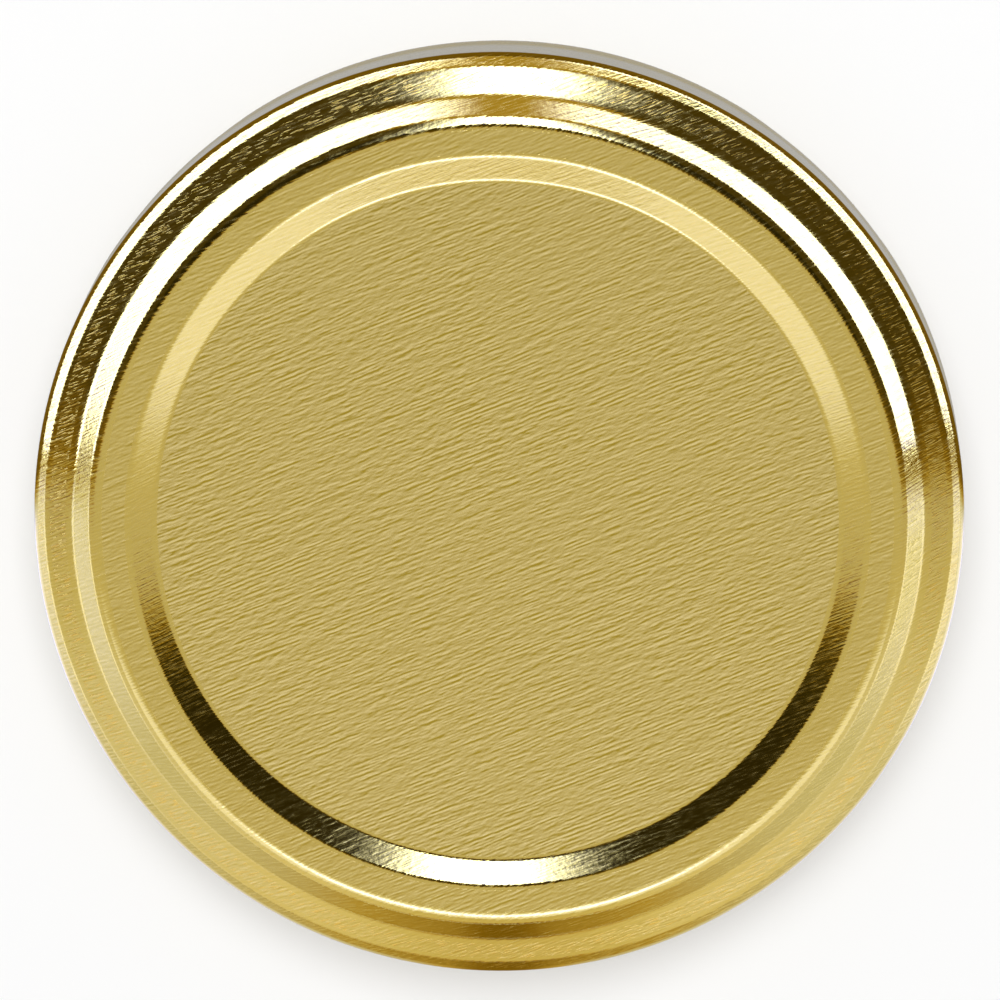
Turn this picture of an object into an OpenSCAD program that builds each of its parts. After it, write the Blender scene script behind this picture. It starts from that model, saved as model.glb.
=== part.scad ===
// Twist-off jar lid: one drawn tinplate shell and the sealing ring that is flowed into it.
// +Z runs up the lid's axis, and the origin is the middle of the plane that the rolled edge
// stands on. All sizes are in millimetres.

/* [Shell] */
// Overall height, from the bottom of the rolled edge to the top of the channel ring
lid_height = 10; // [8:0.1:14]
// Outside diameter of the skirt
skirt_d = 55.2; // [48:0.1:84]
// Thickness of the tinplate
sheet_t = 0.18; // [0.14:0.01:0.26]

/* [Top] */
// Radial width of the shoulder, from the outside of the skirt to the ledge
shoulder_w = 0.85; // [0.5:0.05:1.6]
// Fall of the shoulder from the ledge to the skirt
shoulder_fall = 0.7; // [0.4:0.05:1.2]
// Radial width of the ledge
ledge_w = 1.5; // [1:0.05:3]
// Fall of the ledge from the foot of the step to the shoulder
ledge_fall = 0.75; // [0.3:0.05:1.2]
// Radial width of the step
step_w = 1.45; // [1:0.05:2.4]
// Fall of the step from the channel ring to the ledge
step_fall = 1.4; // [1:0.05:2.6]
// Radial width of the channel ring, the flat ring that stands highest
channel_w = 2; // [1.6:0.05:4]
// Radial width of the slope between the channel ring and the panel
slope_w = 1.5; // [1.2:0.05:3]
// Depth of the panel below the channel ring
panel_recess = 0.65; // [0.3:0.05:1.2]

/* [Bends] */
// Bend radius at the edge of the panel
panel_bend = 0.8; // [0.4:0.05:1.5]
// Bend radius at the channel ring's inner edge
channel_bend_in = 0.8; // [0.4:0.05:1.5]
// Bend radius at the channel ring's outer edge
channel_bend_out = 1.1; // [0.3:0.05:1.6]
// Bend radius at the foot of the step
foot_bend = 2.2; // [0.3:0.1:3]
// Bend radius between the ledge and the shoulder
ledge_bend = 1.4; // [0.6:0.1:2.4]
// Bend radius between the shoulder and the skirt
shoulder_bend = 0.8; // [0.5:0.05:1.6]

/* [Rolled edge] */
// Radial size of the roll
roll_w = 1.4; // [1.2:0.05:2]
// Height of the roll
roll_h = 1.7; // [1.4:0.05:2.2]
// How far the roll stands proud of the skirt
roll_proud = 0.15; // [0.1:0.05:0.5]
// Height over which the skirt flares out to the widest point of the roll
flare_h = 1.5; // [1.1:0.1:2]
// Angle that the sheet turns through in the roll
roll_turn = 320; // [280:5:325]
// How far the raw edge is tucked in, as a share of the roll's size
roll_tuck = 0.45; // [0.4:0.01:0.55]

/* [Lugs] */
// Number of lugs
lug_count = 4; // [3:1:6]
// How far the tips of the lugs reach inwards past the roll
lug_reach = 0.95; // [0.6:0.05:1.5]
// Angle of a lug's full height
lug_flat = 14; // [10:1:24]
// Angle of the ramp at each end of a lug
lug_ramp = 7; // [5:1:10]
// Height of a flattened lug
lug_h = 1.1; // [0.9:0.05:1.4]
// How far the outside of the roll is pressed inwards at a lug
lug_dent = 0.05; // [0.05:0.05:0.4]
// Height of a lug's middle above the middle of the roll
lug_lift = 0.1; // [0:0.05:0.3]

/* [Sealing ring] */
// Depth of the sealing ring under the channel ring
seal_depth = 1; // [0.6:0.05:1.3]
// How far the sealing ring reaches inwards past the channel ring
seal_lap_in = 1.1; // [0.6:0.05:1.5]
// How far the sealing ring reaches outwards past the channel ring
seal_lap_out = 0.9; // [0.5:0.05:1.1]
// Least depth of the sealing ring where it runs down the step
seal_skin = 0.22; // [0.15:0.01:0.35]
// Width over which the sealing ring's edges are rounded off
seal_round = 0.45; // [0.25:0.05:0.6]

/* [Hidden] */

GOLD = [0.74, 0.60, 0.30];
SEAL_GREY = [0.80, 0.79, 0.75];

turns = 144;        // facets round the axis
bend_step = 7.5;    // greatest turn between two points of a bend
roll_steps = 18;    // points round the roll
flare_steps = 4;    // points down the flare
ramp_steps = 6;     // sections along a lug's ramp
flat_steps = 5;     // sections along a lug's full height
seal_steps = 28;    // points along the sealing ring's free face
half_t = sheet_t / 2;

// Radii and heights of the middle of the sheet
skirt_r = skirt_d / 2 - half_t;
ledge_out_r = skirt_d / 2 - shoulder_w;
foot_r = ledge_out_r - ledge_w;
channel_out_r = foot_r - step_w;
channel_in_r = channel_out_r - channel_w;
panel_r = channel_in_r - slope_w;
top_z = lid_height - half_t;
panel_z = top_z - panel_recess;
foot_z = top_z - step_fall;
ledge_z = foot_z - ledge_fall;
shoulder_z = ledge_z - shoulder_fall;

// The roll: half sizes and centre of the middle of its sheet
roll_a = roll_w / 2 - half_t;
roll_b = roll_h / 2 - half_t;
roll_r = skirt_d / 2 + roll_proud - roll_w / 2;
roll_z = roll_h / 2;
flare_z = roll_z + flare_h;

// A lug: the roll flattened and pressed inwards
lug_tip_r = roll_r - roll_w / 2 - lug_reach;
lug_tip = lug_tip_r + half_t;
lug_out = roll_r + roll_a - lug_dent;
lug_a = (lug_out - lug_tip) / 2;
lug_b = lug_h / 2 - half_t;
lug_r = (lug_out + lug_tip) / 2;
lug_z = roll_z + lug_lift;
lug_half = lug_flat / 2 + lug_ramp;

// How a lug's sheet is let into the skirt and the roll that it grows from
let_in = 0.25;      // length let into the skirt
let_in_angle = 0.8; // angle let into the roll
let_in_inset = 0.02; // how far the let-in stretch lies inside the sheet's faces
gap_margin = 1;     // how far a lug's gap is cut past the sheet

// Number between a and b at share k
function mix(a, b, k) = a + (b - a) * k;
// Share k eased so that it starts and ends without a slope
function ease(k) = k <= 0 ? 0 : k >= 1 ? 1 : k * k * (3 - 2 * k);
function unit(v) = v / norm(v);
function turned(v, a) = [v.x * cos(a) - v.y * sin(a), v.x * sin(a) + v.y * cos(a)];

// The arc that rounds corner b between a and c, with its radius limited by its two walls
function bend(a, b, c, radius) =
    let (
        u = unit(a - b),
        v = unit(c - b),
        half = acos(u * v) / 2,
        reach = min(radius / tan(half), 0.48 * min(norm(a - b), norm(c - b))),
        centre = b + unit(u + v) * reach / cos(half),
        start = b + u * reach - centre,
        sweep = 180 - 2 * half,
        way = u.x * v.y - u.y * v.x > 0 ? -1 : 1,
        steps = max(2, ceil(sweep / bend_step))
    )
    [for (i = [0:steps]) centre + turned(start, way * sweep * i / steps)];

// Corners of the middle of the sheet, from the axis to the foot of the skirt, with their bends
top_corners = [
    [0, panel_z],
    [panel_r, panel_z],
    [channel_in_r, top_z],
    [channel_out_r, top_z],
    [foot_r, foot_z],
    [ledge_out_r, ledge_z],
    [skirt_r, shoulder_z],
    [skirt_r, flare_z],
];
top_bends = [
    0, panel_bend, channel_bend_in, channel_bend_out, foot_bend, ledge_bend, shoulder_bend
];

// Middle of the sheet from the axis to the foot of the skirt
function top_line() = [
    top_corners[0],
    for (i = [1:len(top_corners) - 2])
        each bend(top_corners[i - 1], top_corners[i], top_corners[i + 1], top_bends[i]),
    top_corners[len(top_corners) - 1],
];

// A point of the roll's sheet, press being 0 on the plain roll and 1 on a lug. Down the flare
// the sheet eases from the skirt to the roll's widest point. Then it runs round an ellipse,
// down, inwards and up, and draws in over the last stretch to tuck the raw edge inside.
function flare_point(press, k) =
    let (wide = mix(roll_r + roll_a, lug_out, press), low = mix(roll_z, lug_z, press))
    [mix(skirt_r, wide, ease(k)), mix(flare_z, low, k)];
function roll_point(press, k) =
    let (
        angle = k * roll_turn,
        size = 1 - roll_tuck * ease((angle - 180) / (roll_turn - 180)),
        a = mix(roll_a, lug_a, press) * size,
        b = mix(roll_b, lug_b, press) * size
    )
    [mix(roll_r, lug_r, press) + a * cos(angle), mix(roll_z, lug_z, press) - b * sin(angle)];
function roll_line(press, cut = 0) = [
    for (i = [1:flare_steps]) flare_point(press, i / flare_steps),
    for (i = [1:roll_steps]) roll_point(press, i / roll_steps - (i == roll_steps ? cut : 0)),
];

// Points beside a line, at distance d[i] to its left, square to the line at each point
function beside(line, d) =
    let (
        last = len(line) - 1,
        across = [for (i = [0:last - 1]) turned(unit(line[i + 1] - line[i]), 90)]
    )
    [for (i = [0:last])
        let (p = across[max(i - 1, 0)], q = across[min(i, last - 1)])
        line[i] + (p + q) * d[i] / (1 + p * q)];
function alike(value, count) = [for (i = [1:count]) value];
function reversed(list) = [for (i = [len(list) - 1:-1:0]) list[i]];

// Outline of the sheet's section along a line
function sheet_section(line) =
    let (d = alike(half_t, len(line)))
    concat(beside(line, d), reversed(beside(line, -d)));

// The shell without its lugs: panel, channel ring, step, ledge, shoulder, skirt and plain roll
module turned_shell() {
    rotate_extrude($fn = turns) polygon(sheet_section(concat(top_line(), roll_line(0))));
}

// The stretch of the roll that a lug takes the place of
module lug_gap() {
    rotate([0, 0, -lug_half]) rotate_extrude(angle = 2 * lug_half, $fn = turns)
        translate([lug_tip_r - gap_margin, -gap_margin])
            square([skirt_d / 2 + roll_proud - lug_tip_r + 2 * gap_margin, flare_z + gap_margin]);
}

// Angles of a lug's sections, the first two and last two lying in the plain roll
lug_angles = [
    -lug_half - let_in_angle,
    -lug_half,
    for (i = [0:ramp_steps]) -lug_half + mix(let_in_angle / 2, lug_ramp, i / ramp_steps),
    for (i = [1:flat_steps - 1]) lug_flat * (i / flat_steps - 0.5),
    for (i = [0:ramp_steps]) lug_half - mix(lug_ramp, let_in_angle / 2, i / ramp_steps),
    lug_half,
    lug_half + let_in_angle,
];

// A lug: the sheet's section carried round the axis while the roll is pressed flat and inwards
module lug() {
    last = len(lug_angles) - 1;
    sections = [for (i = [0:last])
        let (
            plain = i < 2 || i > last - 2,
            press = ease((lug_half - abs(lug_angles[i])) / lug_ramp),
            foot = [[skirt_r, flare_z + let_in], [skirt_r, flare_z]],
            line = concat(foot, roll_line(press, plain ? let_in_inset / roll_w : 0)),
            thin = half_t - let_in_inset,
            d = concat(alike(thin, 2), alike(plain ? thin : half_t, len(line) - 2))
        )
        concat(beside(line, d), reversed(beside(line, -d)))];
    n = len(sections[0]);
    points = [for (i = [0:last]) for (p = sections[i])
        [p.x * cos(lug_angles[i]), p.x * sin(lug_angles[i]), p.y]];
    sides = [for (i = [0:last - 1]) for (j = [0:n - 1])
        let (a = i * n + j, b = i * n + (j + 1) % n)
        each [[a, b + n, b], [a, a + n, b + n]]];
    ends = [for (j = [0:n / 2 - 2])
        let (a = j, b = j + 1, c = n - 2 - j, d = n - 1 - j, far = last * n)
        each [[a, c, d], [a, b, c], [a + far, d + far, c + far], [a + far, c + far, b + far]]];
    polyhedron(points, concat(sides, ends), convexity = 6);
}

module lid_shell() {
    color(GOLD) union() {
        difference() {
            turned_shell();
            for (i = [0:lug_count - 1]) rotate([0, 0, 360 * (i + 0.5) / lug_count]) lug_gap();
        }
        for (i = [0:lug_count - 1]) rotate([0, 0, 360 * (i + 0.5) / lug_count]) lug();
    }
}

// The underside of the sheet, which the sealing ring is bonded to
under_line = let (line = top_line()) beside(line, alike(-half_t, len(line)));
function under_z(r) = lookup(r, [for (p = under_line) if (p.x < skirt_r - shoulder_bend) p]);

seal_in_r = channel_in_r - seal_lap_in;
seal_out_r = channel_out_r + seal_lap_out;
seal_z = top_z - half_t - seal_depth;

// Free face of the sealing ring: level under the channel, a skin of even depth down the step,
// and rounded off to nothing at both edges as a quarter of an ellipse
function seal_edge(r) = min(1, (r - seal_in_r) / seal_round, (seal_out_r - r) / seal_round);
function seal_face_z(r) =
    let (depth = max(under_z(r) - seal_z, seal_skin), e = 1 - seal_edge(r))
    under_z(r) - depth * sqrt(1 - e * e);

module sealing_ring() {
    bonded = [for (p = under_line) if (p.x > seal_in_r && p.x < seal_out_r) p];
    free = [for (i = [1:seal_steps - 1])
        let (r = mix(seal_out_r, seal_in_r, (1 - cos(180 * i / seal_steps)) / 2))
        [r, seal_face_z(r)]];
    color(SEAL_GREY) rotate_extrude($fn = turns) polygon(concat(
        [[seal_in_r, under_z(seal_in_r)]], bonded, [[seal_out_r, under_z(seal_out_r)]], free));
}

lid_shell();
sealing_ring();
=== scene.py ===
"""Looks of a twist-off jar lid: the drawn tinplate shell, its flowed-in seal and the studio.

Sizes are written in millimetres and go into the meshes in metres. +Z is the lid's axis, and
z = 0 is the plane that the rolled edge stands on.
"""

import logging
import math
from dataclasses import dataclass
from typing import Any, Sequence

import bpy
import numpy as np
from mathutils import Matrix, Vector


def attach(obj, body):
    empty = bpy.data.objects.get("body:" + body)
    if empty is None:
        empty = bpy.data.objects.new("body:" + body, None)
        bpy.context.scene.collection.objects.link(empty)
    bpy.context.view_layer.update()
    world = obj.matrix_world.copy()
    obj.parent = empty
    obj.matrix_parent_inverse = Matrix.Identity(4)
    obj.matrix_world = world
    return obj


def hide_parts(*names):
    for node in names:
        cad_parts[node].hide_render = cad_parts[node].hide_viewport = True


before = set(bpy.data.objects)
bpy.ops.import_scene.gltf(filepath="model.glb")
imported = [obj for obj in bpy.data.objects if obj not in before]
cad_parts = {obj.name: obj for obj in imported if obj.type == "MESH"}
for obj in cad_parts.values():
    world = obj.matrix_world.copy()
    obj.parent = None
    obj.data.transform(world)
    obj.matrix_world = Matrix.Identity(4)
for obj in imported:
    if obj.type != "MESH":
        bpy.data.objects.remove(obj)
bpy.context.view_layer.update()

LOG = logging.getLogger("jar_lid")
MM = 0.001
Array = np.ndarray
Span = tuple[float, float]
# A gain: how much, and the two places between which it sets in.
Gain = tuple[float, float, float]
Colour = tuple[float, float, float]
WHITE: Colour = (1.0, 1.0, 1.0)
# Light of the walls and the lamp, and of the key: cool, since the lacquer takes the blue away.
COOL: Colour = (0.50, 0.56, 1.00)
MILD: Colour = (0.53, 0.59, 1.30)


# ---- shader boards


class Wire:
    """A shader socket that Python's operators extend with Math nodes."""

    def __init__(self, board: "Board", socket: bpy.types.NodeSocket) -> None:
        """Wrap an output socket of a board's tree."""
        self.board = board
        self.socket = socket

    def _math(self, operation: str, *values: Any) -> "Wire":
        """Add one Math node over values and wires, in order."""
        return self.board.node("ShaderNodeMath", {"operation": operation}, dict(enumerate(values)), "Value")

    def __add__(self, other: Any) -> "Wire":
        """Sum with a value or wire."""
        return self._math("ADD", self, other)

    def __radd__(self, other: Any) -> "Wire":
        """Sum of a value and this wire."""
        return self._math("ADD", other, self)

    def __sub__(self, other: Any) -> "Wire":
        """Difference from a value or wire."""
        return self._math("SUBTRACT", self, other)

    def __rsub__(self, other: Any) -> "Wire":
        """Difference of a value and this wire."""
        return self._math("SUBTRACT", other, self)

    def __mul__(self, other: Any) -> "Wire":
        """Product with a value or wire."""
        return self._math("MULTIPLY", self, other)

    def __rmul__(self, other: Any) -> "Wire":
        """Product of a value and this wire."""
        return self._math("MULTIPLY", other, self)

    def __truediv__(self, other: Any) -> "Wire":
        """Quotient by a value or wire."""
        return self._math("DIVIDE", self, other)

    def __rtruediv__(self, other: Any) -> "Wire":
        """Quotient of a value by this wire."""
        return self._math("DIVIDE", other, self)

    def __pow__(self, other: Any) -> "Wire":
        """Power of this wire."""
        return self._math("POWER", self, other)

    def clamped(self, low: float, high: float) -> "Wire":
        """Keep the value between two limits."""
        return self._math("MINIMUM", self._math("MAXIMUM", self, low), high)

    def size(self) -> "Wire":
        """The value without its sign."""
        return self._math("ABSOLUTE", self)

    def ramp(self, low: float, high: float) -> "Wire":
        """Ease from 0 at low to 1 at high, as a smooth step. High may lie below low."""
        inputs = {"Value": self, "From Min": low, "From Max": high}
        return self.board.node("ShaderNodeMapRange", {"interpolation_type": "SMOOTHSTEP"}, inputs, "Result")

    def gain(self, amount: float, low: float, high: float) -> "Wire":
        """Ease from 0 at low to an amount at high."""
        return self.ramp(low, high) * amount


class Board:
    """One material's or world's node tree."""

    def __init__(self, tree: bpy.types.NodeTree) -> None:
        """Empty a tree, to fill it."""
        self.tree = tree
        tree.nodes.clear()

    def node(
        self,
        kind: str,
        settings: dict[str, Any] | None = None,
        inputs: dict[str | int, Any] | None = None,
        output: str | int = 0,
    ) -> Wire:
        """Add a node.

        Args:
            kind: The node's type.
            settings: Its settings, set first.
            inputs: Values or wires for its sockets, by name or number.
            output: The socket that is handed back.

        Returns:
            The chosen output.
        """
        made = self.tree.nodes.new(kind)
        for name, value in (settings or {}).items():
            setattr(made, name, value)
        for name, value in (inputs or {}).items():
            socket = made.inputs[name]
            if isinstance(value, Wire):
                self.tree.links.new(value.socket, socket)
            else:
                socket.default_value = value
        return Wire(self, made.outputs[output] if made.outputs else None)

    def row(self, place: Wire, stops: Sequence[tuple[float, Colour]]) -> Wire:
        """Colour at a place along a row of colours.

        Args:
            place: The place, from 0 to 1.
            stops: (place, linear colour) from low to high.

        Returns:
            The colour, evenly between the two stops beside the place.
        """
        made = self.node("ShaderNodeValToRGB", {}, {"Fac": place}, "Color")
        elements = made.socket.node.color_ramp.elements
        while len(elements) < len(stops):
            elements.new(0.5)
        for element, (at, colour) in zip(elements, stops):
            element.position, element.color = at, (*colour, 1.0)
        return made

    def blend(self, factor: Any, first: Any, second: Any) -> Wire:
        """Mix two colours or wires. The factor is the share of the second."""
        settings = {"data_type": "RGBA"}
        return self.node("ShaderNodeMix", settings, {0: factor, 6: _rgba(first), 7: _rgba(second)}, 2)

    def noise(
        self, place: Wire, scale: float = 1.0, detail: float = 1.0, roughness: float = 0.5, flat: bool = True
    ) -> Wire:
        """Smooth noise over a position.

        Args:
            place: The position.
            scale: Waves per unit of length.
            detail: Number of finer layers.
            roughness: Share of each finer layer.
            flat: True where the position is on a plane.

        Returns:
            A value about 0.5.
        """
        settings = {"noise_dimensions": "2D" if flat else "3D", "normalize": True}
        inputs = {"Vector": place, "Scale": scale, "Detail": detail, "Roughness": roughness}
        return self.node("ShaderNodeTexNoise", settings, inputs, "Fac")

    def bumped(self, height: Wire) -> Wire:
        """Normal of a surface with a height in mm."""
        return self.node("ShaderNodeBump", {}, {"Strength": 1.0, "Distance": MM, "Height": height}, "Normal")


def _rgba(colour: Any) -> Any:
    """Give a written colour its alpha, and pass a wire on."""
    return colour if isinstance(colour, Wire) else (*colour, 1.0)


# ---- finishes


@dataclass(frozen=True)
class Finish:
    """A material made of nodes.

    Attributes:
        name: The material's name.
    """

    name: str

    def material(self) -> bpy.types.Material:
        """Make the material from its shader.

        Returns:
            The material.
        """
        made = bpy.data.materials.new(self.name)
        made.use_nodes = True
        board = Board(made.node_tree)
        board.node("ShaderNodeOutputMaterial", {}, {"Surface": self.surface(board)})
        return made

    def surface(self, board: Board) -> Wire:
        """Add the finish's shader to a board."""
        raise NotImplementedError


@dataclass(frozen=True)
class Grain:
    """Straight strokes in the sheet that all run one way.

    Attributes:
        turn_deg: Angle of the strokes from +X towards +Y.
        length: Length of a long stroke, in mm.
        short: Length of a short stroke, in mm.
        short_share: Share of the short strokes in the ridges.
        width: Width of a stroke, in mm.
    """

    turn_deg: float = 22.0
    length: float = 2.4
    short: float = 0.55
    short_share: float = 0.4
    width: float = 0.13

    def ridges(self, board: Board, place: Wire, shift: float = 0.0) -> Wire:
        """Height of long and short strokes laid over each other, moved sideways by shift mm."""
        long = self.strokes(board, place, self.length, shift) * (1.0 - self.short_share)
        return long + self.strokes(board, place, self.short, shift) * self.short_share

    def strokes(self, board: Board, place: Wire, length: float, shift: float) -> Wire:
        """Height of strokes of one length, from 0 to 1.

        noise(turned place · (1 / length, 1 / width) + shift / width) with the strokes along its
        first axis.

        Args:
            board: The board to add to.
            place: Position on the flat blank, in mm.
            length: Length of a stroke, in mm.
            shift: Distance that the strokes are moved sideways, in mm.

        Returns:
            A value about 0.5.
        """
        turn = {"Vector": place, "Angle": -math.radians(self.turn_deg)}
        turned = board.node("ShaderNodeVectorRotate", {"rotation_type": "Z_AXIS"}, turn)
        stretch = {
            "Vector": turned,
            "Location": (0.0, shift / self.width, 0.0),
            "Scale": (1.0 / length, 1.0 / self.width, 1.0),
        }
        drawn = board.node("ShaderNodeMapping", {"vector_type": "POINT"}, stretch)
        return board.noise(drawn)


@dataclass(frozen=True)
class GoldTinplate(Finish):
    """Rolled tinplate under a clear gold lacquer.

    The scores are sparse scratches along the grain, on flats that are half burnished. The
    colour paints the light and shade that the grain's ridges catch.

    Attributes:
        pale, painted_shaded_side: Painted highlight and painted shade: the colours that the
            lacquered metal is painted on a ridge's lit and on its shaded flank.
        drawn, drawn_share: Colour that a bend nears, and how far.
        depth, offset: Height of the grain's ridges, and distance between a ridge's two flanks whose
            heights are compared to paint its shading, in mm.
        shade, patchy, ironed: Contrast of the painted shading between the two flanks, how much it
            varies over the sheet, and the share of it that a bend loses.
        flat_rough, bend_rough: Roughness as rolled, and where the tools have burnished it.
        ridge_rough: What a ridge adds to the roughness on a flat, and further on a bend.
        rough_limits: The lowest and highest roughness of the grain.
        craze, craze_size: Height and size of the fine unevenness on bends, in mm.
        scores_apart: Distance between the patterns of the scores and the grain, in mm.
        scored, scored_from, scored_to: Spans over which the scores set in along their strokes
            and with burnish, and are ironed out again.
        score_depth, score_rough: Height of a score in mm, and what it adds to the roughness.
        score_colour, score_share: Colour that a score nears, and how far.
        wave, wave_size, wave_detail: Height and size in mm of the slow waviness that drawing
            leaves, and the share of finer waves in it.
        lacquer_rough, lacquer_ior: Roughness and refractive index of the lacquer.
    """

    name: str = "gold_tinplate"
    # Painted highlight and painted shade: pale on a ridge's lit flank, the next colour on its shaded flank.
    pale: Colour = (0.930, 0.795, 0.360)
    painted_shaded_side: Colour = (0.465, 0.340, 0.006)
    drawn: Colour = (0.710, 0.550, 0.085)
    drawn_share: float = 0.5
    grain: Grain = Grain()
    depth: float = 0.009
    offset: float = 0.12
    shade: float = 2.1
    patchy: float = 0.8
    ironed: float = 0.75
    flat_rough: float = 0.19
    bend_rough: float = 0.11
    ridge_rough: Span = (0.10, 0.60)
    rough_limits: Span = (0.05, 0.40)
    craze: float = 0.004
    craze_size: float = 0.28
    scores: Grain = Grain(length=0.9, width=0.08)
    scores_apart: float = 40.0
    scored: Span = (0.54, 0.71)
    scored_from: Span = (0.50, 0.70)
    scored_to: Span = (0.90, 0.70)
    score_depth: float = 0.0045
    score_rough: float = 0.17
    score_colour: Colour = (0.860, 0.540, 0.050)
    score_share: float = 0.55
    wave: float = 0.05
    wave_size: float = 6.0
    wave_detail: float = 0.4
    lacquer_rough: float = 0.06
    lacquer_ior: float = 1.5

    def surface(self, board: Board) -> Wire:
        """Build the shader.

        Height in mm = depth · ridges + wave · slow noise + burnish · craze · fine noise +
        score_depth · scratches. The colour paints the ridges' shading: it follows
        ridges(place) − ridges(place + offset), which is above 0 on a ridge's lit flank, painted
        towards pale, and below 0 on its shaded flank, painted towards the shaded-side colour.
        Roughness eases from flat_rough to bend_rough with the sheet's burnish attribute.

        Args:
            board: The board to add to.

        Returns:
            The shader.
        """
        place = board.node("ShaderNodeUVMap", {"uv_map": "blank"})
        painted = {"attribute_type": "GEOMETRY", "attribute_name": "burnish"}
        burnish = board.node("ShaderNodeAttribute", painted, output="Fac")
        ridges = self.grain.ridges(board, place)
        # Painted shading of the ridges: above 0 on a lit flank, below 0 on a shaded flank.
        sides = ridges - self.grain.ridges(board, place, self.offset)
        waves = board.noise(place, 0.5 / self.wave_size, roughness=self.wave_detail)
        crazes = board.noise(place, 1.0 / self.craze_size)
        scores = self.scores.strokes(board, place, self.scores.length, self.scores_apart).ramp(*self.scored)
        scores = scores * burnish.ramp(*self.scored_from) * burnish.ramp(*self.scored_to)

        height = ridges * self.depth + waves * self.wave
        height = height + crazes * burnish * self.craze + scores * self.score_depth
        patchy = (waves - 0.5) * self.patchy + 1.0
        # Painted highlight and painted shade: the painted shading picks the base colour between the
        # shaded-side colour and pale.
        shade = (sides * self.shade * patchy * (1.0 - self.ironed * burnish) + 0.5).clamped(0.0, 1.0)
        metal = board.blend(burnish * self.drawn_share, board.blend(shade, self.painted_shaded_side, self.pale), self.drawn)
        rough = self.flat_rough + burnish * (self.bend_rough - self.flat_rough)
        uneven = self.ridge_rough[0] + self.ridge_rough[1] * burnish
        rough = (rough + (ridges - 0.5) * uneven).clamped(*self.rough_limits)
        sockets = {
            "Base Color": board.blend(scores * self.score_share, metal, self.score_colour),
            "Metallic": 1.0,
            "Roughness": rough + scores * self.score_rough,
            "Normal": board.bumped(height),
            "Coat Weight": 1.0,
            "Coat IOR": self.lacquer_ior,
            "Coat Roughness": self.lacquer_rough,
        }
        return board.node("ShaderNodeBsdfPrincipled", {}, sockets, "BSDF")


@dataclass(frozen=True)
class SealingCompound(Finish):
    """Soft compound that is flowed in and baked, with a faint skin.

    Attributes:
        pale, shadow: Its colours, the second where the skin is thin.
        thin: Span of the slow unevenness between them.
        rough, uneven: Roughness of the skin, and how much the pits vary it.
        pit_size, pit_depth: Size and depth of the pits that baking leaves, in mm.
        flow_size, flow_depth: Size and depth of the slow unevenness, in pits.
    """

    name: str = "sealing_compound"
    pale: Colour = (0.66, 0.64, 0.58)
    shadow: Colour = (0.52, 0.50, 0.45)
    thin: Span = (0.3, 0.7)
    rough: float = 0.42
    uneven: float = 0.2
    pit_size: float = 0.35
    pit_depth: float = 0.006
    flow_size: float = 5.0
    flow_depth: float = 4.0

    def surface(self, board: Board) -> Wire:
        """Build the shader.

        Args:
            board: The board to add to.

        Returns:
            The shader.
        """
        place = board.node("ShaderNodeTexCoord", output="Object")
        scale = 0.5 / (self.pit_size * MM)
        pits = board.noise(place, scale, detail=2.0, flat=False)
        flow = board.noise(place, scale / self.flow_size, flat=False)
        sockets = {
            "Base Color": board.blend(flow.ramp(*self.thin), self.shadow, self.pale),
            "Roughness": self.rough + (pits - 0.5) * self.uneven,
            "Normal": board.bumped((pits + flow * self.flow_depth) * self.pit_depth),
        }
        return board.node("ShaderNodeBsdfPrincipled", {}, sockets, "BSDF")


@dataclass(frozen=True)
class FloorPaper(Finish):
    """Plain white paper under the lid.

    Attributes:
        colour: The paper's colour.
        plain: Share of plain white that the camera and the lid's gloss see in it.
    """

    name: str = "floor_paper"
    colour: Colour = (0.86, 0.86, 0.86)
    plain: float = 0.4

    def surface(self, board: Board) -> Wire:
        """Build the shader.

        Args:
            board: The board to add to.

        Returns:
            The shader.
        """
        lit = board.node("ShaderNodeBsdfDiffuse", {}, {"Color": _rgba(self.colour)}, "BSDF")
        white = board.node("ShaderNodeEmission", {}, {"Color": _rgba(WHITE), "Strength": 1.0})
        seen = [
            board.node("ShaderNodeLightPath", output=f"Is {ray} Ray")
            for ray in ("Camera", "Glossy", "Transmission")
        ]
        share = (seen[0] + seen[1] + seen[2]).clamped(0.0, 1.0) * self.plain
        return board.node("ShaderNodeMixShader", {}, {0: share, 1: lit, 2: white}, "Shader")


# ---- turned surfaces


def eased(share: Array) -> Array:
    """Ease a share from 0 to 1 so that it starts and ends without a slope: k²(3 − 2k)."""
    k = np.clip(share, 0.0, 1.0)
    return k * k * (3.0 - 2.0 * k)


def full_turn(count: int) -> Array:
    """Angles that go round once in even steps, in radians, without the last one."""
    return 2.0 * math.pi * np.arange(count) / count


def around(r: Array, angle: Array, *more: Array) -> Array:
    """Points (r cos a, r sin a, more) at radii r and angles a in radians."""
    return np.stack(np.broadcast_arrays(r * np.cos(angle), r * np.sin(angle), *more), axis=-1)


def fillet(before: Array, corner: Array, after: Array, radius: float, steps: int) -> Array:
    """Round a corner with an arc that touches both of its walls.

    With half the corner's angle h, the arc starts at reach = radius / tan h along each wall,
    or at 0.48 of the shorter wall so that it leaves room for the next arc. Its centre lies
    reach / cos h along the bisector.

    Args:
        before: The point before the corner, as (r, z).
        corner: The corner.
        after: The point after it.
        radius: The bend radius.
        steps: How many stretches the arc is cut into.

    Returns:
        The arc's points, steps + 1 rows of (r, z).
    """
    u, v = before - corner, after - corner
    shorter = min(np.hypot(*u), np.hypot(*v))
    u, v = u / np.hypot(*u), v / np.hypot(*v)
    half = math.acos(float(u @ v)) / 2.0
    reach = min(radius / math.tan(half), 0.48 * shorter)
    bisector = (u + v) / np.hypot(*(u + v))
    centre = corner + bisector * reach / math.cos(half)
    start = corner + u * reach - centre
    way = -1.0 if u[0] * v[1] - u[1] * v[0] > 0 else 1.0
    angle = way * (math.pi - 2.0 * half) * np.linspace(0.0, 1.0, steps + 1)
    c, s = np.cos(angle), np.sin(angle)
    return centre + np.stack((start[0] * c - start[1] * s, start[0] * s + start[1] * c), axis=-1)


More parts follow.
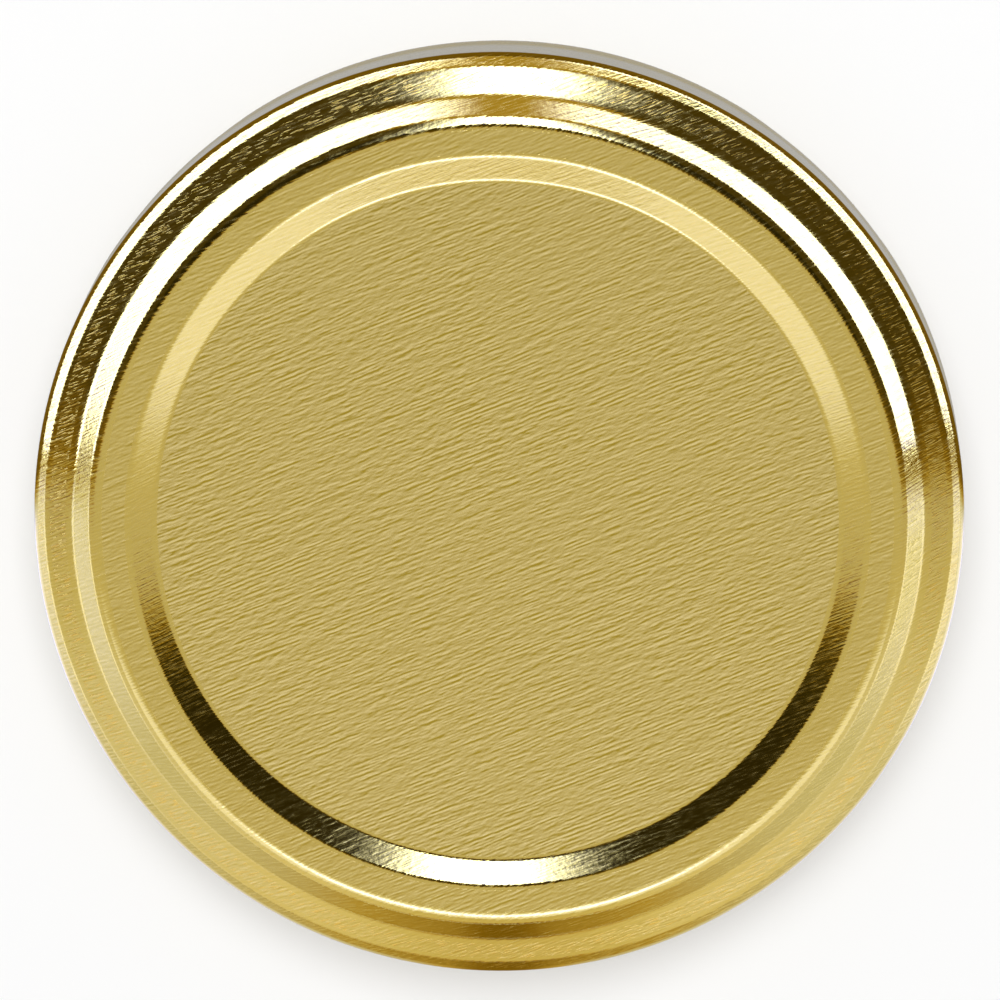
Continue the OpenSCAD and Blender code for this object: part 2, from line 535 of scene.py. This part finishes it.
def left_of(line: Array) -> Array:
    """Unit vectors square to a line, to its left, at each of its points.

    Args:
        line: Points (..., n, 2).

    Returns:
        Vectors of the same shape: the tangent (t_r, t_z) turned to (−t_z, t_r).
    """
    step = np.diff(line, axis=-2)
    step /= np.linalg.norm(step, axis=-1, keepdims=True)
    inner = step[..., 1:, :] + step[..., :-1, :]
    along = np.concatenate((step[..., :1, :], inner, step[..., -1:, :]), axis=-2)
    along /= np.linalg.norm(along, axis=-1, keepdims=True)
    return np.stack((-along[..., 1], along[..., 0]), axis=-1)


def turned_mesh(name: str, section: Array, angles: Array, poles: bool) -> bpy.types.Mesh:
    """Carry a closed section round +Z.

    Point (i, j) is (r cos a, r sin a, z) with r and z from section[i, j] and a from angles[i].

    Args:
        name: The mesh's name.
        section: (angles, stations, 2) as (r, z) in mm, clockwise in the r-z half plane.
        angles: Angle of each section, in radians, going round once.
        poles: True where the first and last stations lie on the axis.

    Returns:
        The mesh, in metres, with its faces outwards.
    """
    turns = len(angles)
    points = around(section[..., 0], angles[:, None], section[..., 1]) * MM
    rings = points[:, 1:-1] if poles else points
    count = rings.shape[1]
    here, j = np.arange(turns)[:, None] * count, np.arange(count - 1 if poles else count)[None, :]
    ahead, beside = np.roll(here, -1, axis=0), (j + 1) % count
    quads = np.stack((here + j, here + beside, ahead + beside, ahead + j), axis=-1)
    vertices, faces = rings.reshape(-1, 3), quads.reshape(-1, 4).tolist()
    if poles:
        here, ahead = here[:, 0], ahead[:, 0]
        pole = np.full(turns, len(vertices))
        faces += np.stack((pole, here, ahead), axis=-1).tolist()
        faces += np.stack((here + count - 1, pole + 1, ahead + count - 1), axis=-1).tolist()
        vertices = np.concatenate((vertices, points[0, :1], points[0, -1:]))
    mesh = bpy.data.meshes.new(name)
    mesh.from_pydata(vertices.tolist(), [], faces, shade_flat=False)
    mesh.validate()
    return mesh


def put(mesh: bpy.types.Mesh, finish: Finish) -> bpy.types.Object:
    """Put a mesh into the scene under its own name.

    Args:
        mesh: The mesh.
        finish: Its finish.

    Returns:
        The object.
    """
    mesh.materials.append(finish.material())
    made = bpy.data.objects.new(mesh.name, mesh)
    bpy.context.scene.collection.objects.link(made)
    return made


def add_piece(mesh: bpy.types.Mesh, finish: Finish, node: str) -> bpy.types.Object:
    """Put a finished mesh into the scene in place of a CAD node.

    Args:
        mesh: The mesh, in the row frame.
        finish: Its finish.
        node: The CAD node that it stands for.

    Returns:
        The piece.
    """
    piece = put(mesh, finish)
    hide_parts(node)
    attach(piece, "root")
    return piece


# ---- the lid


@dataclass
class LidShell:
    """The drawn shell: panel, slope, channel ring, step, ledge, skirt, rolled edge and lugs.

    The sizes are in mm and name the same features as in the part's source. Bends, their
    steps and flat_burnish run from the panel outwards. The panel and any other flat are cut
    into flat_steps, with a point at guard, or a fifth of the flat, from each bend.
    """

    height: float = 10.0
    skirt_d: float = 55.2
    sheet: float = 0.18
    shoulder_w: float = 0.85
    shoulder_fall: float = 0.7
    ledge_w: float = 1.5
    ledge_fall: float = 0.75
    step_w: float = 1.45
    step_fall: float = 1.4
    channel_w: float = 2.0
    slope_w: float = 1.5
    panel_recess: float = 0.65
    bends: tuple[float, ...] = (0.8, 0.8, 1.1, 2.2, 1.4, 0.8)
    bend_steps: tuple[int, ...] = (6, 6, 10, 6, 6, 12)
    flat_burnish: tuple[float, ...] = (0.0, 0.85, 0.45, 0.9, 0.7, 0.8, 0.6)
    roll_w: float = 1.4
    roll_h: float = 1.7
    roll_proud: float = 0.15
    flare_h: float = 1.5
    roll_turn: float = 320.0
    roll_tuck: float = 0.45
    lugs: int = 4
    lug_reach: float = 0.95
    lug_flat: float = 14.0
    lug_ramp: float = 7.0
    lug_h: float = 1.1
    lug_dent: float = 0.05
    lug_lift: float = 0.1
    turns: int = 320
    flat_steps: tuple[int, int] = (14, 3)
    guard: float = 0.05
    roll_burnish: float = 0.7

    @property
    def half(self) -> float:
        """Half the sheet's thickness."""
        return self.sheet / 2.0

    @property
    def foot_r(self) -> float:
        """Radius of the foot of the step."""
        return self.skirt_d / 2.0 - self.shoulder_w - self.ledge_w

    @property
    def channel_out_r(self) -> float:
        """Outer radius of the channel ring."""
        return self.foot_r - self.step_w

    @property
    def channel_in_r(self) -> float:
        """Inner radius of the channel ring."""
        return self.channel_out_r - self.channel_w

    def top_line(self) -> tuple[Array, Array]:
        """Middle of the sheet from the axis to the foot of the skirt.

        Returns:
            Points (n, 2) as (r, z), and the burnish of each, 1 on a bend.
        """
        top = self.height - self.half
        panel = top - self.panel_recess
        foot = top - self.step_fall
        skirt_r = self.skirt_d / 2.0 - self.half
        corners = np.array(
            [
                (0.0, panel),
                (self.channel_in_r - self.slope_w, panel),
                (self.channel_in_r, top),
                (self.channel_out_r, top),
                (self.foot_r, foot),
                (self.foot_r + self.ledge_w, foot - self.ledge_fall),
                (skirt_r, foot - self.ledge_fall - self.shoulder_fall),
                (skirt_r, self.roll_h / 2.0 + self.flare_h),
            ]
        )
        arcs = [
            fillet(corners[i], corners[i + 1], corners[i + 2], radius, steps)
            for i, (radius, steps) in enumerate(zip(self.bends, self.bend_steps))
        ]
        line, burnish = [corners[:1]], [np.full(1, self.flat_burnish[0])]
        start = corners[0]
        for index, arc in enumerate([*arcs, corners[-1:]]):
            flat = arc[0] - start
            guard = min(self.guard / np.hypot(*flat), 0.2)
            shares = np.linspace(0.0, 1.0, self.flat_steps[min(index, 1)] + 1)[1:-1]
            shares = np.concatenate(([guard] if index else [], shares, [1.0 - guard]))
            line.append(start + flat * shares[:, None])
            burnish.append(np.full(len(shares), self.flat_burnish[index]))
            line.append(arc)
            burnish.append(np.ones(len(arc)))
            start = arc[-1]
        return np.concatenate(line), np.concatenate(burnish)

    def press(self, angles: Array) -> Array:
        """How far the roll is pressed into a lug: 1 along a lug, eased to 0 over its ramps.

        Args:
            angles: Angles round the axis, in radians.

        Returns:
            The press at each angle.
        """
        pitch = 360.0 / self.lugs
        away = np.abs(np.degrees(angles) % pitch - pitch / 2.0)
        return eased((self.lug_flat / 2.0 + self.lug_ramp - away) / self.lug_ramp)

    def roll_line(self, press: Array, flare_steps: int = 12, roll_steps: int = 46) -> Array:
        """Middle of the sheet down the flare and round the roll.

        The flare eases from the skirt to the roll's widest point. The roll is an ellipse
        that runs down, inwards and up through roll_turn, and draws in over its last stretch.

        Args:
            press: Press of each section, shape (turns,).
            flare_steps: Points down the flare.
            roll_steps: Points round the roll.

        Returns:
            Points (turns, flare_steps + roll_steps, 2) as (r, z).
        """
        press = press[:, None]
        skirt_r = self.skirt_d / 2.0 - self.half
        plain_r, plain_z = self.skirt_d / 2.0 + self.roll_proud - self.roll_w / 2.0, self.roll_h / 2.0
        plain_a, plain_b = self.roll_w / 2.0 - self.half, self.roll_h / 2.0 - self.half
        lug_out = plain_r + plain_a - self.lug_dent
        lug_tip = plain_r - self.roll_w / 2.0 - self.lug_reach + self.half
        lug_z = plain_z + self.lug_lift
        flare_z = plain_z + self.flare_h

        k = np.linspace(0.0, 1.0, flare_steps + 1)[None, 1:]
        wide = plain_r + plain_a + (lug_out - plain_r - plain_a) * press
        low = plain_z + (lug_z - plain_z) * press
        flare = np.stack((skirt_r + (wide - skirt_r) * eased(k), flare_z + (low - flare_z) * k), axis=-1)

        turn = self.roll_turn * np.linspace(0.0, 1.0, roll_steps + 1)[None, 1:]
        size = 1.0 - self.roll_tuck * eased((turn - 180.0) / (self.roll_turn - 180.0))
        a = (plain_a + ((lug_out - lug_tip) / 2.0 - plain_a) * press) * size
        b = (plain_b + (self.lug_h / 2.0 - self.half - plain_b) * press) * size
        middle_r = plain_r + ((lug_out + lug_tip) / 2.0 - plain_r) * press
        angle = np.radians(turn)
        roll = np.stack((middle_r + a * np.cos(angle), low - b * np.sin(angle)), axis=-1)
        return np.concatenate((flare, roll), axis=1)

    def mesh(self) -> bpy.types.Mesh:
        """Thicken the line to both sides, carry it round the axis, and lay out the blank.

        The blank map puts a point at (s cos a, s sin a), s being the length of sheet from
        the axis, so that the grain runs on over the bends as it does in the flat sheet.

        Returns:
            The shell's mesh with its blank map and burnish attribute.
        """
        angles = full_turn(self.turns)
        top, top_burnish = self.top_line()
        roll = self.roll_line(self.press(angles))
        line = np.concatenate((np.broadcast_to(top, (self.turns, *top.shape)), roll), axis=1)
        burnish = np.concatenate((top_burnish, np.full(roll.shape[1], self.roll_burnish)))
        normal = left_of(line)
        normal[:, 0] = (0.0, 1.0)
        outside, inside = line + normal * self.half, line - normal * self.half
        section = np.concatenate((outside, inside[:, ::-1]), axis=1)
        mesh = turned_mesh("drawn_shell", section, angles, poles=True)

        run = np.zeros(line.shape[:2])
        run[:, 1:] = np.cumsum(np.linalg.norm(np.diff(line, axis=1), axis=-1), axis=1)
        run = np.concatenate((run, run[:, ::-1]), axis=1)[:, 1:-1]
        blank = np.concatenate((around(run, angles[:, None]).reshape(-1, 2), np.zeros((2, 2))))
        corner = np.zeros(len(mesh.loops), dtype=np.int32)
        mesh.loops.foreach_get("vertex_index", corner)
        layer = mesh.uv_layers.new(name="blank")
        layer.data.foreach_set("uv", blank[corner].astype(np.float32).ravel())

        both = np.concatenate((burnish, burnish[::-1]))[1:-1]
        shine = np.concatenate((np.broadcast_to(both, (self.turns, len(both))).ravel(), np.zeros(2)))
        attribute = mesh.attributes.new("burnish", "FLOAT", "POINT")
        attribute.data.foreach_set("value", shine.astype(np.float32))
        return mesh

    def build(self, finish: GoldTinplate) -> bpy.types.Object:
        """Make the shell and dress it."""
        return add_piece(self.mesh(), finish, "lid_shell")


@dataclass
class SealingRing:
    """The ring of compound flowed into the channel from below.

    The sizes are in mm and name the same features as in the part's source.
    """

    shell: LidShell
    depth: float = 1.0
    lap_in: float = 1.1
    lap_out: float = 0.9
    skin: float = 0.22
    round_w: float = 0.45
    free_steps: int = 72
    turns: int = 256

    def section(self) -> Array:
        """Section of the ring.

        The bonded face follows the underside of the sheet. The free face is level under the
        channel, keeps an even skin down the step, and rounds off to nothing at both edges:
        z = under(r) − max(under(r) − level, skin) · sqrt(1 − e²), e falling from 1 at an
        edge to 0 at round_w from it.

        Returns:
            Points (n, 2) as (r, z), clockwise.
        """
        line, _ = self.shell.top_line()
        normal = left_of(line)
        normal[0] = (0.0, 1.0)
        under = line - normal * self.shell.half
        inner = self.shell.channel_in_r - self.lap_in
        outer = self.shell.channel_out_r + self.lap_out
        level = self.shell.height - self.shell.sheet - self.depth
        bonded_r = np.concatenate(([inner], under[(under[:, 0] > inner) & (under[:, 0] < outer), 0], [outer]))
        bonded = np.stack((bonded_r, np.interp(bonded_r, under[:, 0], under[:, 1])), axis=-1)
        share = (1.0 - np.cos(math.pi * np.arange(1, self.free_steps) / self.free_steps)) / 2.0
        free_r = outer + (inner - outer) * share
        free_z = np.interp(free_r, under[:, 0], under[:, 1])
        edge = 1.0 - np.minimum(1.0, np.minimum(free_r - inner, outer - free_r) / self.round_w)
        free_z = free_z - np.maximum(free_z - level, self.skin) * np.sqrt(1.0 - edge * edge)
        return np.concatenate((bonded, np.stack((free_r, free_z), axis=-1)))

    def build(self, finish: SealingCompound) -> bpy.types.Object:
        """Make the ring and dress it.

        Args:
            finish: The compound's finish.

        Returns:
            The piece.
        """
        angles = full_turn(self.turns)
        section = self.section()
        section = np.broadcast_to(section, (self.turns, *section.shape))
        mesh = turned_mesh("flowed_seal", section, angles, poles=False)
        return add_piece(mesh, finish, "sealing_ring")


# ---- the studio


@dataclass(frozen=True)
class GlowingCloth(Finish):
    """Studio cloth that gives off its own cool daylight, evenly.

    Attributes:
        level: Its brightness.
        tint: Colour of its light.
    """

    level: float = 1.0
    tint: Colour = COOL

    def glow(self, board: Board) -> Any:
        """Colour over the cloth: here the same all over."""
        return _rgba(self.tint)

    def cover(self, board: Board) -> Any:
        """How much the cloth hides what is behind it, and shows its own glow: here all."""
        return 1.0

    def surface(self, board: Board) -> Wire:
        """Build the shader.

        Args:
            board: The board to add to.

        Returns:
            The shader.
        """
        glow = board.node("ShaderNodeEmission", {}, {"Color": self.glow(board), "Strength": self.level})
        clear = board.node("ShaderNodeBsdfTransparent")
        return board.node("ShaderNodeMixShader", {}, {0: self.cover(board), 1: clear, 2: glow}, "Shader")

    @staticmethod
    def way(board: Board) -> tuple[Wire, Wire, Wire]:
        """The way from the lid to a point of the cloth, as x, y and z of length 1.

        Args:
            board: The board to add to.

        Returns:
            The three values.
        """
        place = board.node("ShaderNodeTexCoord", output="Object")
        unit = board.node("ShaderNodeVectorMath", {"operation": "NORMALIZE"}, {0: place})
        x, y, z = (board.node("ShaderNodeSeparateXYZ", {}, {"Vector": unit}, axis) for axis in "XYZ")
        return x, y, z


@dataclass(frozen=True)
class WallCloth(GlowingCloth):
    """Cloth of a light wall, which thins out at its end beside +Y.

    Attributes:
        tip: Where it is clear and where it is whole, as its way from the lid along x.
    """

    tip: Span = (0.04, 0.26)

    def cover(self, board: Board) -> Any:
        """How much the cloth covers, from nothing at its tip."""
        return self.way(board)[0].size().ramp(*self.tip)


@dataclass(frozen=True)
class SoftCloth(GlowingCloth):
    """Lamp cloth that thins out towards its edges.

    Its places are along x and y of the way from the lid.

    Attributes:
        middle: Its middle.
        half: Its half widths.
        soft: Widths over which its edges thin out.
        fall: How fast they do.
    """

    middle: Span = (0.0, 0.5)
    half: Span = (0.2, 0.2)
    soft: Span = (0.1, 0.1)
    fall: float = 1.0

    def cover(self, board: Board) -> Any:
        """How much the cloth covers: (fade along x · fade along y) to the power fall.

        Args:
            board: The board to add to.

        Returns:
            The share.
        """
        ways = self.way(board)[:2]
        fades = [
            (way - middle).size().ramp(half, half - soft)
            for way, middle, half, soft in zip(ways, self.middle, self.half, self.soft)
        ]
        return (fades[0] * fades[1]) ** self.fall


@dataclass(frozen=True)
class TentCloth(GlowingCloth):
    """Cloth of the tent: dark on its far side, +Y, and pale on its near side, −Y.

    Brightness 1 is white. Dim cloth is warm and bright cloth is cool. Places are along the
    way (x, y, z) from the lid, with aside for the size of x and down for −y.

    Attributes:
        far, near, above: Brightness of the far side, the near side, and high up on the latter.
        far_low, far_high: What the far side gains lower down, and overhead, along z.
        far_edge, far_end: What it gains along y near the near side, and between the walls.
        near_more, near_aside: What the near side gains down, and aside along near_aside_down.
        above_down, above_z: Places between which above sets in.
        above_lean, above_aside: How much lower it starts further down, and aside.
        gap, gap_end: Brightness along the floor straight towards −Y, and its gain beside that.
        low, low_more: What the floor's edge gains aside, and again further out.
        low_z: Heights between which the floor's edge sets in.
        edge_z, edge_y: The line from far to near: its slant begins at the first height and is
            0 at the second, and its width is along y.
        warm, warm_near, warm_far: Tint straight towards −Y, and its two shares.
    """

    far: float = 0.025
    far_low: Gain = (0.035, 0.78, 0.66)
    far_high: Gain = (0.05, 0.90, 0.97)
    far_edge: Gain = (0.10, 0.20, -0.04)
    far_end: Gain = (0.35, 0.88, 0.95)
    near: float = 0.645
    near_more: Gain = (0.05, 0.30, 0.70)
    near_aside: Gain = (0.18, 0.05, 0.40)
    near_aside_down: Span = (0.15, 0.55)
    above: float = 1.25
    above_down: Span = (0.26, 0.44)
    above_z: Span = (0.69, 0.75)
    above_lean: float = 0.14
    above_aside: Gain = (0.09, 0.25, 0.36)
    gap: float = 0.15
    gap_end: Gain = (0.20, 0.03, 0.12)
    low: Gain = (0.65, 0.02, 0.60)
    low_more: Gain = (0.80, 0.70, 1.00)
    low_z: Span = (0.16, 0.04)
    edge_z: Span = (0.60, 0.65)
    edge_y: Span = (-0.02, 0.10)
    warm: Colour = (1.06, 0.96, 0.66)
    warm_near: Gain = (0.4, 0.165, 0.235)
    warm_far: Gain = (0.6, 0.70, 0.90)

    def brightness(self, board: Board) -> Wire:
        """Brightness over the cloth, with (x, y, z) the way from the lid.

        The near side is blended into above and into the floor's edge, and the far side into
        the near side at y = (max(z, edge_z[0]) − edge_z[1]) / 2.

        Args:
            board: The board to add to.

        Returns:
            The brightness, 1 being white.
        """
        x, y, z = self.way(board)
        aside, down = x.size(), 0.0 - y
        near = self.near + down.gain(*self.near_more)
        near = near + down.ramp(*self.near_aside_down) * aside.gain(*self.near_aside)
        high = (z + self.above_lean * down + aside.gain(*self.above_aside)).ramp(*self.above_z)
        near = near + high * down.ramp(*self.above_down) * (self.above - near)
        near = near + z.ramp(*self.low_z) * (self.beside(aside, self.gap) - near)
        far = self.far + z.gain(*self.far_low) + z.gain(*self.far_high)
        far = far + y.gain(*self.far_edge) + y.gain(*self.far_end)
        edge = ((z.clamped(self.edge_z[0], 1.0) - self.edge_z[1]) * 0.5 - y).ramp(*self.edge_y)
        return far + edge * (near - far)

    def beside(self, aside: Wire, middle: float) -> Wire:
        """A brightness with what it gains aside of its middle."""
        return middle + aside.gain(*self.gap_end) + aside.gain(*self.low) + aside.gain(*self.low_more)

    def glow(self, board: Board) -> Any:
        """Colour over the cloth, from warm to cool with its brightness, and warmer at −Y.

        Args:
            board: The board to add to.

        Returns:
            The colour, as a share of level.
        """
        down = 0.0 - self.way(board)[1]
        light = self.toned(board, self.brightness(board))
        tint = {0: light, 1: self.warm}
        warm = board.node("ShaderNodeVectorMath", {"operation": "MULTIPLY"}, tint, "Vector")
        return board.blend(down.gain(*self.warm_near) + down.gain(*self.warm_far), light, warm)

    def toned(self, board: Board, brightness: Wire) -> Wire:
        """Warm a dim brightness and cool a bright one.

        Args:
            board: The board to add to.
            brightness: The brightness, 1 being white.

        Returns:
            The colour, as a share of level.
        """
        lights = (
            (0.00, (0.000, 0.000, 0.000)),
            (0.05, (0.060, 0.046, 0.010)),
            (0.20, (0.280, 0.165, 0.012)),
            (0.45, (0.580, 0.420, 0.110)),
            (0.60, (0.668, 0.602, 0.452)),
            (0.75, (0.770, 0.755, 0.735)),
            (1.10, (1.060, 1.110, 1.750)),
            (1.50, (1.440, 1.520, 2.500)),
        )
        stops = [(b / self.level, tuple(c / self.level for c in light)) for b, light in lights]
        return board.row(brightness / self.level, stops)


@dataclass(frozen=True)
class EdgeCloth(TentCloth):
    """Cloth of the shallow dish round the lid, which gives its edges their dark lines.

    Attributes:
        rim: What its inner part gains aside.
        rim_r: Radii between which rim sets in inwards, in metres.
        foot: Light of its inner edge.
        foot_r: Radii between which foot fades into the rest, in metres.
        side_y: Line between its far and its near side, along −y.
    """

    far: float = 0.14
    near: float = 0.18
    gap_end: Gain = (0.12, 0.03, 0.12)
    low: Gain = (0.44, 0.05, 0.75)
    low_more: Gain = (0.35, 0.75, 1.00)
    rim: Gain = (0.25, 0.03, 0.20)
    rim_r: Span = (0.055, 0.042)
    foot: Colour = (0.46, 0.45, 0.43)
    foot_r: Span = (0.0292, 0.0312)
    side_y: Span = (-0.05, 0.10)

    def glow(self, board: Board) -> Any:
        """Colour over the dish: foot at its inner edge, then far or near by the side.

        Args:
            board: The board to add to.

        Returns:
            The colour, as a share of level.
        """
        x, y, _ = self.way(board)
        aside = x.size()
        place = board.node("ShaderNodeTexCoord", output="Object")
        reach = board.node("ShaderNodeVectorMath", {"operation": "LENGTH"}, {0: place}, "Value")
        near = self.beside(aside, self.near) + aside.gain(*self.rim) * reach.ramp(*self.rim_r)
        light = self.far + (0.0 - y).ramp(*self.side_y) * (near - self.far)
        foot = tuple(part / self.level for part in self.foot)
        return board.blend(reach.ramp(*self.foot_r), foot, self.toned(board, light))


@dataclass
class Studio:
    """Floor, tent, light walls, lamps and camera.

    Lengths are in metres, and the camera's in mm. Angles are in degrees: azimuth from +X
    towards +Y, and height above the floor. A wall's middle and tops are heights towards its
    two ends, and the camera's tilt and aim are to +X or the right, and to +Y or up. A cloth's
    grid is its number of points each way.
    """

    tent_r: float = 1.4
    tent_level: float = 2.5
    tent_grid: tuple[int, int] = (73, 19)
    wall_r: float = 0.9
    wall_level: float = 6.5
    wall_left: Span = (93.0, 181.0)
    wall_right: Span = (87.0, 2.0)
    wall_left_top: Span = (9.0, 20.0)
    wall_right_top: Span = (9.0, 10.0)
    wall_middle: Span = (9.0, 2.0)
    wall_below: float = 14.0
    wall_grid: tuple[int, int] = (33, 5)
    lamp_cloth: SoftCloth = SoftCloth("lamp_cloth", 12.0, COOL, (0.01, 0.67), (0.38, 0.27), (0.36, 0.04), 4.0)
    key_cloth: SoftCloth = SoftCloth("key_cloth", 4.5, MILD, (-0.03, -0.56), (0.32, 0.11), (0.14, 0.05))
    lamp_grid: tuple[int, int] = (17, 17)
    dish_grid: tuple[int, int] = (97, 9)
    dish_r: Span = (0.0275, 0.080)
    dish_z: Span = (0.0001, 0.0068)
    floor_z: float = -0.00002
    fill_size: float = 0.6
    fill_place: Span = (0.42, 1.10)
    fill_power: float = 10.6
    sky_level: float = 0.5
    camera_distance: float = 400.0
    camera_tilt: Span = (1.3, 8.75)
    camera_aim: Span = (0.078, 0.902)
    camera_height: float = 6.5
    lens: float = 242.5

    def hang(self, name: str, place: Array, finish: GlowingCloth) -> None:
        """Hang a piece of cloth that only the lid's gloss sees.

        Args:
            name: The cloth's name.
            place: Grid of points, (n, m, 3), in metres.
            finish: The cloth's glow.
        """
        n, m = place.shape[:2]
        corner = np.arange(n - 1)[:, None] * m + np.arange(m - 1)[None, :]
        quads = np.stack((corner, corner + m, corner + m + 1, corner + 1), axis=-1)
        mesh = bpy.data.meshes.new(name)
        mesh.from_pydata(place.reshape(-1, 3).tolist(), [], quads.reshape(-1, 4).tolist())
        cloth = put(mesh, finish)
        cloth.visible_camera = cloth.visible_diffuse = cloth.visible_shadow = False

    @staticmethod
    def ways(azimuth: Array, height: Array) -> Array:
        """Directions (cos h cos a, cos h sin a, sin h) at azimuths a and heights h in degrees."""
        h = np.radians(height)
        return around(np.cos(h), np.radians(azimuth), np.sin(h))

    def wall(self, name: str, ends: Span, tops: Span) -> None:
        """Hang a light wall that comes to a point at both of its ends.

        With u from 0 at its end beside +Y to 1 at its other end and bulge = sqrt(sin πu), its
        top is at middle + (top − middle) · bulge and its bottom at middle − wall_below · bulge,
        no lower than the floor. Middle and top go evenly from one end to the other.

        Args:
            name: The wall's name.
            ends: Azimuths of its two ends.
            tops: Heights of its top towards the two ends.
        """
        u = np.linspace(0.0, 1.0, self.wall_grid[0])
        bulge = np.sin(math.pi * u) ** 0.5
        middle = self.wall_middle[0] + (self.wall_middle[1] - self.wall_middle[0]) * u
        top = middle + (tops[0] + (tops[1] - tops[0]) * u - middle) * bulge
        bottom = np.maximum(middle - self.wall_below * bulge, 0.0)
        share = np.linspace(0.0, 1.0, self.wall_grid[1])[None, :]
        height = bottom[:, None] + (top - bottom)[:, None] * share
        azimuth = (ends[0] + (ends[1] - ends[0]) * u)[:, None]
        self.hang(name, self.ways(azimuth, height) * self.wall_r, WallCloth("wall_cloth", self.wall_level))

    def lamp(self, name: str, cloth: SoftCloth) -> None:
        """Hang a soft lamp overhead, with z what makes the way (x, y, z) of length 1.

        Args:
            name: The lamp's name.
            cloth: Its cloth, which says where it lies.
        """
        places = zip(cloth.middle, cloth.half, self.lamp_grid)
        spans = (middle + half * np.linspace(-1.0, 1.0, count) for middle, half, count in places)
        across, along = np.meshgrid(*spans, indexing="ij")
        high = np.sqrt(np.maximum(1.0 - across**2 - along**2, 0.0))
        self.hang(name, np.stack((across, along, high), axis=-1) * self.wall_r, cloth)

    def dish(self) -> None:
        """Lay the shallow dish of cloth round the lid, rising evenly from dish_z[0] to dish_z[1]."""
        azimuth = np.radians(np.linspace(0.0, 360.0, self.dish_grid[0]))[:, None]
        share = np.linspace(0.0, 1.0, self.dish_grid[1])[None, :]
        r = self.dish_r[0] + (self.dish_r[1] - self.dish_r[0]) * share
        z = self.dish_z[0] + (self.dish_z[1] - self.dish_z[0]) * share
        self.hang("dish", around(r, azimuth, z), EdgeCloth("dish_cloth", self.tent_level))

    def fill(self) -> None:
        """Hang the soft square lamp above +Y that lights the floor and everything dull."""
        data = bpy.data.lights.new("fill", "AREA")
        data.shape, data.size, data.energy = "SQUARE", self.fill_size, self.fill_power
        lamp = bpy.data.objects.new("fill", data)
        lamp.location = (0.0, *self.fill_place)
        lamp.visible_camera = lamp.visible_glossy = False
        bpy.context.scene.collection.objects.link(lamp)

    def sky(self) -> None:
        """Give the world its plain white, which lights dull things at sky_level."""
        world = bpy.data.worlds.new("studio_white")
        bpy.context.scene.world = world
        world.use_nodes = True
        board = Board(world.node_tree)
        dull = board.node("ShaderNodeLightPath", output="Is Diffuse Ray")
        level = 1.0 - dull * (1.0 - self.sky_level)
        sky = board.node("ShaderNodeBackground", {}, {"Color": _rgba(WHITE), "Strength": level})
        board.node("ShaderNodeOutputWorld", {}, {"Surface": sky})

    def light(self) -> None:
        """Hang the tent, the light walls, the lamps and the dish, and set the world."""
        azimuth = np.linspace(0.0, 360.0, self.tent_grid[0])[:, None]
        height = np.linspace(90.0, 0.0, self.tent_grid[1])[None, :]
        self.hang("tent", self.ways(azimuth, height) * self.tent_r, TentCloth("tent_cloth", self.tent_level))
        self.wall("wall_left", self.wall_left, self.wall_left_top)
        self.wall("wall_right", self.wall_right, self.wall_right_top)
        self.lamp("lamp", self.lamp_cloth)
        self.lamp("key", self.key_cloth)
        self.dish()
        self.fill()
        self.sky()

    def floor(self, finish: FloorPaper, corners: int = 96) -> None:
        """Lay the floor, a round sheet just under the rolled edge.

        Args:
            finish: The floor's finish.
            corners: Corners of its outline.
        """
        rim = around(self.tent_r, full_turn(corners), self.floor_z)
        mesh = bpy.data.meshes.new("floor")
        mesh.from_pydata(rim.tolist(), [], [list(range(corners))])
        put(mesh, finish)

    def camera(self) -> None:
        """Set the camera above the lid, leaning a little towards +Y and +X."""
        lean_x, lean_y = (math.sin(math.radians(a)) for a in self.camera_tilt)
        back = Vector((lean_x, lean_y, math.sqrt(1.0 - lean_x**2 - lean_y**2)))
        right = Vector((0.0, 1.0, 0.0)).cross(back).normalized()
        up = back.cross(right)
        aim = Vector((0.0, 0.0, self.camera_height)) + right * self.camera_aim[0] + up * self.camera_aim[1]
        data = bpy.data.cameras.new("camera")
        data.lens, data.sensor_width = self.lens, 36.0
        data.clip_start, data.clip_end = 0.01, 10.0
        made = bpy.data.objects.new("camera", data)
        turn = Matrix((right, up, back)).transposed().to_4x4()
        made.matrix_world = Matrix.Translation((aim + back * self.camera_distance) * MM) @ turn
        bpy.context.scene.collection.objects.link(made)
        bpy.context.scene.camera = made


def main() -> None:
    """Build the lid and its studio."""
    logging.basicConfig(level=logging.INFO, format="%(name)s: %(message)s")
    bpy.context.scene.view_settings.view_transform = "Standard"
    studio = Studio()
    studio.camera()
    studio.light()
    studio.floor(FloorPaper())
    shell = LidShell()
    for piece in (shell.build(GoldTinplate()), SealingRing(shell).build(SealingCompound())):
        piece.data.calc_loop_triangles()
        LOG.info("%s: %d triangles", piece.name, len(piece.data.loop_triangles))


if __name__ == "__main__":
    main()
